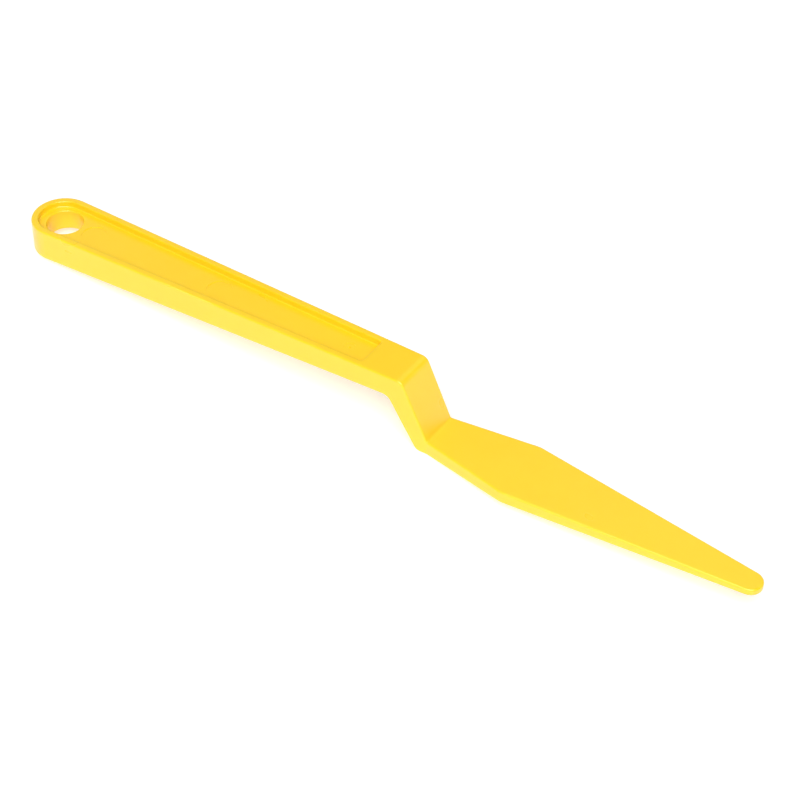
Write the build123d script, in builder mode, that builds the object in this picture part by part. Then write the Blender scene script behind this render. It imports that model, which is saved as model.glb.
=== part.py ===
from build123d import *
from math import acos, asin, atan, atan2, cos, hypot, radians, sin, tan
import os

# Cranked plastic spudger: one injection moulding, in millimetres.
#
# Everything is drawn in the handle's own directions first: local X runs from the rounded
# end towards the blade, local Z is square to the handle's flat top face, and the local
# origin is the middle of the rounded end on that face. The finished tool lies on a table on two
# places, the end of the handle and the heel of the crank, so the drawing planes are
# tilted by the angle that puts both on the table.

# ---- driving dimensions -----------------------------------------------------------------
overall_length = 180.0

end_radius = 6.9                # rounded end of the handle, round the hanging hole
handle_length = 92.5            # middle of the rounded end to the front edge of the top face
knee_half_width = 4.95          # at that front edge
end_thickness = 7.4             # handle, under the middle of the rounded end
knee_thickness = 5.0            # handle, under the front edge

crank_run = 6.1                 # the front of the crank goes forward by this much
crank_drop = 13.5               # and down by this much
crank_back = 3.4                # how far behind the front edge the rear of the crank starts
heel_back = 2.6                 # how far behind the crease the heel is

root_half_width = 4.65
root_thickness = 3.4
widest_from_root = 19.7
widest_half_width = 7.95
tip_radius = 2.65
blade_top_slope = 2.35          # degrees, falling towards the tip
blade_underside_slope = 0.95    # degrees, falling towards the tip

draft_angle = 0.3               # the outer walls widen towards the underside
knee_round = 2.0                # corners of the side view
crease_round = 0.4
heel_round = 1.8
elbow_round = 2.2
widest_round = 6.0              # corners of the outline seen from above
waist_round = 1.2

edge_round = 0.4                # the soft edges all round

# ---- the hollows in the top and the back of the handle ------------------------------------
rim_width = 1.55
recess_depth = 1.4
back_recess_depth = 1.25
recess_end = 82.1               # from the middle of the rounded end
recess_wall_draft = 2.5
recess_corner_round = 0.35
recess_edge_round = 0.25
hole_along = 0.55               # from the middle of the rounded end
hole_radius = 4.1
hole_edge_round = 0.25
ejector_mark_radius = 2.9
ejector_mark_depth = 0.12
first_ejector_mark = 8.9
ejector_mark_pitch = 34.1
ejector_mark_count = 2
gate_along = 76.5               # where the plastic was fed in
gate_mark_radius = 1.25
gate_mark_depth = 0.1
gate_nub_radius = 0.3
gate_nub_height = 0.2
gate_nub_taper = 20.0           # degrees

# ---- points of the side view, (along, up) in the handle's directions ----------------------
tip_end = overall_length - end_radius
tip_centre = tip_end - tip_radius
past_the_ends = 5.0
crease_along = handle_length + crank_run
underside_slope = (end_thickness - knee_thickness) / handle_length
underside_angle = atan(underside_slope)


def handle_underside(along):
    return -end_thickness + underside_slope * along


def blade_top(along):
    return -crank_drop - tan(radians(blade_top_slope)) * (along - crease_along)


def blade_underside(along):
    drop = tan(radians(blade_underside_slope)) * (along - crease_along)
    return -crank_drop - root_thickness - drop


knee = (handle_length, 0)
crease = (crease_along, -crank_drop)
elbow_along = handle_length - crank_back
elbow = (elbow_along, handle_underside(elbow_along))
heel_along = crease_along - heel_back
heel = (heel_along, blade_underside(heel_along))
behind = -end_radius - past_the_ends
ahead = tip_end + past_the_ends

# ---- how the tool lies on a table ---------------------------------------------------------


def rounded_corner_centre(before, corner, after, radius):
    """Centre of the arc that rounds one corner of the side view."""
    to_before = atan2(before[1] - corner[1], before[0] - corner[0])
    to_after = atan2(after[1] - corner[1], after[0] - corner[0])
    middle = (to_before + to_after) / 2
    half_angle = (to_after - to_before) / 2
    reach = radius / abs(sin(half_angle))
    if cos(half_angle) < 0:
        reach = -reach
    return corner[0] + reach * cos(middle), corner[1] + reach * sin(middle)


handle_end_low = (-end_radius, handle_underside(-end_radius))
end_contact = rounded_corner_centre(
    (-end_radius, 0), handle_end_low, elbow, edge_round
)
heel_contact = rounded_corner_centre(
    elbow, heel, (tip_end, blade_underside(tip_end)), heel_round
)
contact_run = heel_contact[0] - end_contact[0]
contact_fall = heel_contact[1] - end_contact[1]
contact_distance = hypot(contact_run, contact_fall)
table_slope = atan2(contact_fall, contact_run) - asin(
    (heel_round - edge_round) / contact_distance
)
lean = -table_slope             # the handle rises towards the crank by this, in radians

along_handle = (cos(lean), 0, sin(lean))
out_of_handle = (-sin(lean), 0, cos(lean))
top_plane = Plane(origin=(0, 0, 0), x_dir=along_handle, z_dir=out_of_handle)
side_plane = Plane(origin=(0, 0, 0), x_dir=along_handle, z_dir=(0, -1, 0))
up_axis = Axis((0, 0, 0), out_of_handle)
recess_floor_plane = top_plane.offset(-recess_depth)
back_lean = lean + underside_angle
back_plane = Plane(
    origin=(end_thickness * sin(lean), 0, -end_thickness * cos(lean)),
    x_dir=(cos(back_lean), 0, sin(back_lean)),
    z_dir=(sin(back_lean), 0, -cos(back_lean)),
)
out_of_back = Axis((0, 0, 0), back_plane.z_dir)
lowest = blade_underside(ahead)


# ---- outline seen from above ---------------------------------------------------------------


def tangent_point(centre_along, radius, along, across):
    """Where a line from (along, across) touches a circle on the centre line, upper side."""
    from_centre = along - centre_along
    distance = hypot(from_centre, across)
    towards = atan2(across, from_centre)
    spread = acos(radius / distance)
    angle = towards + spread if from_centre > 0 else towards - spread
    return centre_along + radius * cos(angle), radius * sin(angle)


knee_corner = (handle_length, knee_half_width)
root_corner = (crease_along, root_half_width)
widest_corner = (crease_along + widest_from_root, widest_half_width)

# ---- the one moulding ------------------------------------------------------------------------
with BuildPart() as spudger_body:
    # side view, wider than the tool
    with BuildSketch(side_plane) as side_view:
        with BuildLine():
            Polyline(
                (behind, 0),
                knee,
                crease,
                (ahead, blade_top(ahead)),
                (ahead, blade_underside(ahead)),
                heel,
                elbow,
                (behind, handle_underside(behind)),
                close=True,
            )
        make_face()
        for corner, radius in (
            (knee, knee_round),
            (crease, crease_round),
            (heel, heel_round),
            (elbow, elbow_round),
        ):
            fillet(side_view.vertices().sort_by_distance(corner)[0], radius)
    extrude(amount=widest_half_width + past_the_ends, both=True)

    # cut to the outline seen from above, whose walls widen towards the underside
    with BuildSketch(top_plane) as outline:
        with BuildLine():
            handle_touch = tangent_point(0, end_radius, *knee_corner)
            tip_touch = tangent_point(tip_centre, tip_radius, *widest_corner)
            RadiusArc((-end_radius, 0), handle_touch, end_radius)
            Polyline(handle_touch, knee_corner, root_corner, widest_corner, tip_touch)
            RadiusArc(tip_touch, (tip_end, 0), tip_radius)
            mirror(about=Plane.XZ)
        make_face()
        for corner, radius in ((widest_corner, widest_round), (root_corner, waist_round)):
            across = (corner[0], -corner[1])
            fillet(outline.vertices().sort_by_distance(corner)[0], radius)
            fillet(outline.vertices().sort_by_distance(across)[0], radius)
    extrude(amount=lowest, taper=-draft_angle, mode=Mode.INTERSECT)

    # round every edge between the outer wall and the faces above and below it
    outer_edges = spudger_body.edges().filter_by(Axis.Y, reverse=True)
    outer_edges = outer_edges.filter_by(
        lambda edge: abs(edge.tangent_at(0.5).dot(Vector(*out_of_handle))) < 0.98
    )
    fillet(outer_edges, edge_round)

    # a hollow in the top of the handle and one in its back, each inside an even rim
    for plane, depth, axis in (
        (top_plane, recess_depth, up_axis),
        (back_plane, back_recess_depth, out_of_back),
    ):
        with BuildSketch(plane) as recess:
            add(outline.sketch_local)
            offset(amount=-rim_width, mode=Mode.REPLACE)
            with Locations((recess_end, 0)):
                Rectangle(
                    overall_length,
                    4 * end_radius,
                    align=(Align.MAX, Align.CENTER),
                    mode=Mode.INTERSECT,
                )
            fillet(recess.vertices().group_by(Axis.X)[-1], recess_corner_round)
        extrude(amount=-depth, taper=recess_wall_draft, mode=Mode.SUBTRACT)
        levels = spudger_body.edges(Select.LAST).group_by(axis)
        fillet(levels[-1] + levels[0], recess_edge_round)

    # marks of the ejector pins, sunk a little into the floor of the top hollow
    with BuildSketch(recess_floor_plane):
        for mark in range(ejector_mark_count):
            with Locations((first_ejector_mark + mark * ejector_mark_pitch, 0)):
                Circle(ejector_mark_radius)
    extrude(amount=-ejector_mark_depth, mode=Mode.SUBTRACT)

    # mark of the gate: a small dimple with the broken-off nub in its middle
    with BuildSketch(recess_floor_plane):
        with Locations((gate_along, 0)):
            Circle(gate_mark_radius)
    extrude(amount=-gate_mark_depth, mode=Mode.SUBTRACT)
    with BuildSketch(recess_floor_plane.offset(-gate_mark_depth)):
        with Locations((gate_along, 0)):
            Circle(gate_nub_radius)
    extrude(amount=gate_nub_height, taper=gate_nub_taper)

    # hanging hole
    with Locations(recess_floor_plane):
        with Locations((hole_along, 0)):
            Hole(hole_radius)
    for level in (0, -1):
        hole_wall = spudger_body.faces().filter_by(
            lambda face: face.geom_type == GeomType.CYLINDER
            and abs(face.radius - hole_radius) < 0.001
        )
        hole_edges = hole_wall.edges().filter_by(lambda edge: edge.is_closed)
        fillet(hole_edges.sort_by(up_axis)[level], hole_edge_round)

# put the box's middle over the origin and its lowest point on the table
box = spudger_body.part.bounding_box()
spudger_body.part = spudger_body.part.moved(Location((-box.center().X, 0, -box.min.Z)))

spudger_body.part.label = "spudger_body"
os.makedirs("parts", exist_ok=True)
export_step(spudger_body.part, "parts/spudger_body.step")
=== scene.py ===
from math import cos, radians, sin

import bpy
from mathutils import Matrix, Vector

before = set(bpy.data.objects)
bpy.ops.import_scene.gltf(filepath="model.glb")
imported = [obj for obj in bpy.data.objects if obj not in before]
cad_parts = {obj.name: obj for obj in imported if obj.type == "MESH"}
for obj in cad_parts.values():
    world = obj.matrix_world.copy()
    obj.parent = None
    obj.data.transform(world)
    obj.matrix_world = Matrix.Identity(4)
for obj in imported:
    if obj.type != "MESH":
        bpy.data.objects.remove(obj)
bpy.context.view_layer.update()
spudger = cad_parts["spudger_body"]

# ---- camera -------------------------------------------------------------------------------
AIM = Vector((0.0060, -0.0002, 0.0063))
CAMERA_AZIMUTH = 29.35          # degrees; 0 looks along +Y
CAMERA_ELEVATION = 44.78
CAMERA_ROLL = 6.04
CAMERA_DISTANCE = 0.4691
LENS = 102.15                   # millimetres
SENSOR_WIDTH = 36               # millimetres
NEAREST = 0.01
FARTHEST = 50


def direction(azimuth, elevation):
    """Unit vector towards a place seen from the object, both angles in degrees."""
    a = radians(azimuth)
    e = radians(elevation)
    return Vector((sin(a) * cos(e), -cos(a) * cos(e), sin(e)))


def add_camera():
    back = direction(CAMERA_AZIMUTH, CAMERA_ELEVATION)
    level = Vector((cos(radians(CAMERA_AZIMUTH)), sin(radians(CAMERA_AZIMUTH)), 0))
    right = Matrix.Rotation(radians(CAMERA_ROLL), 3, back) @ level
    up = back.cross(right)
    data = bpy.data.cameras.new("camera")
    data.lens = LENS
    data.sensor_width = SENSOR_WIDTH
    data.clip_start = NEAREST
    data.clip_end = FARTHEST
    camera = bpy.data.objects.new("camera", data)
    bpy.context.scene.collection.objects.link(camera)
    turn = Matrix((right, up, back)).transposed().to_4x4()
    camera.matrix_world = Matrix.Translation(AIM + back * CAMERA_DISTANCE) @ turn
    bpy.context.scene.camera = camera


# ---- light and floor ------------------------------------------------------------------------
SOFTBOX_SIDE = 1.2
SOFTBOX_DISTANCE = 1.5
SOFTBOXES = (                   # name, azimuth, elevation in degrees, watts
    ("key", 30, 52, 25.0),
    ("front_top", 0, 66, 5.2),
    ("far_right", 120, 12, 2.6),
    ("behind", 180, 40, 3.1),
    ("behind_left", 240, 40, 1.2),
    ("behind_left_low", 240, 12, 2.0),
    ("left", 300, 40, 1.2),
    ("left_low", 300, 12, 1.4),
)
STUDIO_GLOW = 0.02
FLOOR_GREY = 0.65
FLOOR_ROUGHNESS = 0.9
FLOOR_SPECULAR = 0.1
FLOOR_GLOW = 0.46               # the floor is a pale sheet that gives off light
FLOOR_HALF_SIDE = 6.0


def add_world():
    world = bpy.data.worlds.new("studio")
    world.use_nodes = True
    background = world.node_tree.nodes["Background"]
    background.inputs["Color"].default_value = (1, 1, 1, 1)
    background.inputs["Strength"].default_value = STUDIO_GLOW
    bpy.context.scene.world = world


def add_softbox(name, azimuth, elevation, watts):
    data = bpy.data.lights.new(name, "AREA")
    data.shape = "SQUARE"
    data.size = SOFTBOX_SIDE
    data.energy = watts
    towards = direction(azimuth, elevation)
    softbox = bpy.data.objects.new(name, data)
    softbox.location = towards * SOFTBOX_DISTANCE
    softbox.rotation_mode = "QUATERNION"
    softbox.rotation_quaternion = towards.to_track_quat("Z", "Y")
    softbox.visible_camera = False
    bpy.context.scene.collection.objects.link(softbox)


def add_floor():
    material = bpy.data.materials.new("light_table")
    material.use_nodes = True
    shader = material.node_tree.nodes["Principled BSDF"]
    shader.inputs["Base Color"].default_value = (FLOOR_GREY, FLOOR_GREY, FLOOR_GREY, 1)
    shader.inputs["Roughness"].default_value = FLOOR_ROUGHNESS
    shader.inputs["Specular IOR Level"].default_value = FLOOR_SPECULAR
    shader.inputs["Emission Color"].default_value = (1, 1, 1, 1)
    shader.inputs["Emission Strength"].default_value = FLOOR_GLOW
    half = FLOOR_HALF_SIDE
    mesh = bpy.data.meshes.new("floor")
    corners = [(-half, -half, 0), (half, -half, 0), (half, half, 0), (-half, half, 0)]
    mesh.from_pydata(corners, [], [(0, 1, 2, 3)])
    mesh.materials.append(material)
    floor = bpy.data.objects.new("floor", mesh)
    bpy.context.scene.collection.objects.link(floor)


# ---- moulded yellow plastic -------------------------------------------------------------------
HANDLE_LEAN = 5.1               # degrees; the handle rises towards the crank

DEEP_YELLOW = (0.99, 0.635, 0.006, 1)
MID_YELLOW = (1.0, 0.660, 0.010, 1)
PALE_YELLOW = (1.0, 0.675, 0.016, 1)

DRIFT_SCALE = 48                # noise scales are in features per metre
DRIFT_DETAIL = 2.0
DRIFT_STRETCH = 2.2
CLOUD_SCALE = 260
CLOUD_DETAIL = 3.0
CLOUD_STRENGTH = 0.35
RUBBED_SCALE = 70
RUBBED_DETAIL = 3.0
RUBBED_STRETCH = 1.6
SMOOTHEST = 0.265               # roughness
ROUGHEST = 0.335
PEEL_SCALE = 1400
PEEL_DETAIL = 2.0
PEEL_STRENGTH = 0.25
PEEL_HEIGHT = 0.00004           # metres

PLASTIC_IOR = 1.6
COAT_WEIGHT = 0.3
COAT_ROUGHNESS = 0.25
GLOW_THROUGH = 0.2              # subsurface weight
GLOW_THROUGH_COLOURS = (1.0, 0.8, 0.15)
GLOW_THROUGH_REACH = 0.0015     # metres


class NodeGarden:
    """Short calls for the few kinds of shader node that the plastic needs."""

    def __init__(self, material):
        material.use_nodes = True
        self.nodes = material.node_tree.nodes
        self.links = material.node_tree.links
        self.shader = self.nodes["Principled BSDF"]
        self.place = self.nodes.new("ShaderNodeTexCoord").outputs["Object"]

    def noise(self, scale, detail, stretch=1.0):
        """Noise over the object; stretch draws it out along the handle."""
        mapping = self.nodes.new("ShaderNodeMapping")
        mapping.vector_type = "TEXTURE"
        mapping.inputs["Rotation"].default_value = (0, -radians(HANDLE_LEAN), 0)
        mapping.inputs["Scale"].default_value = (stretch, 1, 1)
        self.links.new(self.place, mapping.inputs["Vector"])
        noise = self.nodes.new("ShaderNodeTexNoise")
        noise.inputs["Scale"].default_value = scale
        noise.inputs["Detail"].default_value = detail
        self.links.new(mapping.outputs["Vector"], noise.inputs["Vector"])
        return noise.outputs["Fac"]

    def spread(self, value, low, high, to_low, to_high):
        """Maps low..high of value to to_low..to_high, held at both ends."""
        node = self.nodes.new("ShaderNodeMapRange")
        node.inputs["From Min"].default_value = low
        node.inputs["From Max"].default_value = high
        node.inputs["To Min"].default_value = to_low
        node.inputs["To Max"].default_value = to_high
        self.links.new(value, node.inputs["Value"])
        return node.outputs["Result"]

    def blend(self, amount, first, second):
        """A colour between first and second; either may be a constant or a socket."""
        node = self.nodes.new("ShaderNodeMix")
        node.data_type = "RGBA"
        self.links.new(amount, node.inputs["Factor"])
        for name, colour in (("A", first), ("B", second)):
            socket = [s for s in node.inputs if s.name == name and s.type == "RGBA"][0]
            if isinstance(colour, tuple):
                socket.default_value = colour
            else:
                self.links.new(colour, socket)
        return [s for s in node.outputs if s.type == "RGBA"][0]

    def bump(self, height, strength, distance):
        node = self.nodes.new("ShaderNodeBump")
        node.inputs["Strength"].default_value = strength
        node.inputs["Distance"].default_value = distance
        self.links.new(height, node.inputs["Height"])
        return node.outputs["Normal"]


def yellow_plastic():
    material = bpy.data.materials.new("yellow_plastic")
    garden = NodeGarden(material)
    shader = garden.shader

    # pigment: slow drifts drawn out along the handle, and a fine cloudiness
    drift = garden.noise(DRIFT_SCALE, DRIFT_DETAIL, DRIFT_STRETCH)
    cloud = garden.noise(CLOUD_SCALE, CLOUD_DETAIL)
    colour = garden.blend(
        garden.spread(drift, 0.35, 0.65, 0, 1),
        DEEP_YELLOW,
        MID_YELLOW,
    )
    colour = garden.blend(
        garden.spread(cloud, 0.3, 0.7, 0, CLOUD_STRENGTH),
        colour,
        PALE_YELLOW,
    )
    garden.links.new(colour, shader.inputs["Base Color"])

    # handling: patches rubbed a little smoother
    rubbed = garden.noise(RUBBED_SCALE, RUBBED_DETAIL, RUBBED_STRETCH)
    roughness = garden.spread(rubbed, 0.3, 0.7, SMOOTHEST, ROUGHEST)
    garden.links.new(roughness, shader.inputs["Roughness"])

    # the mould's faint orange peel
    peel = garden.noise(PEEL_SCALE, PEEL_DETAIL)
    surface = garden.bump(peel, PEEL_STRENGTH, PEEL_HEIGHT)
    garden.links.new(surface, shader.inputs["Normal"])

    shader.inputs["IOR"].default_value = PLASTIC_IOR
    shader.inputs["Coat Weight"].default_value = COAT_WEIGHT
    shader.inputs["Coat Roughness"].default_value = COAT_ROUGHNESS
    shader.inputs["Subsurface Weight"].default_value = GLOW_THROUGH
    shader.inputs["Subsurface Radius"].default_value = GLOW_THROUGH_COLOURS
    shader.inputs["Subsurface Scale"].default_value = GLOW_THROUGH_REACH
    return material


# ---- the scene ----------------------------------------------------------------------------------
add_camera()
add_world()
for softbox in SOFTBOXES:
    add_softbox(*softbox)
add_floor()
bpy.context.scene.view_settings.view_transform = "Standard"

plastic = yellow_plastic()
for place in spudger.material_slots:
    place.material = plastic
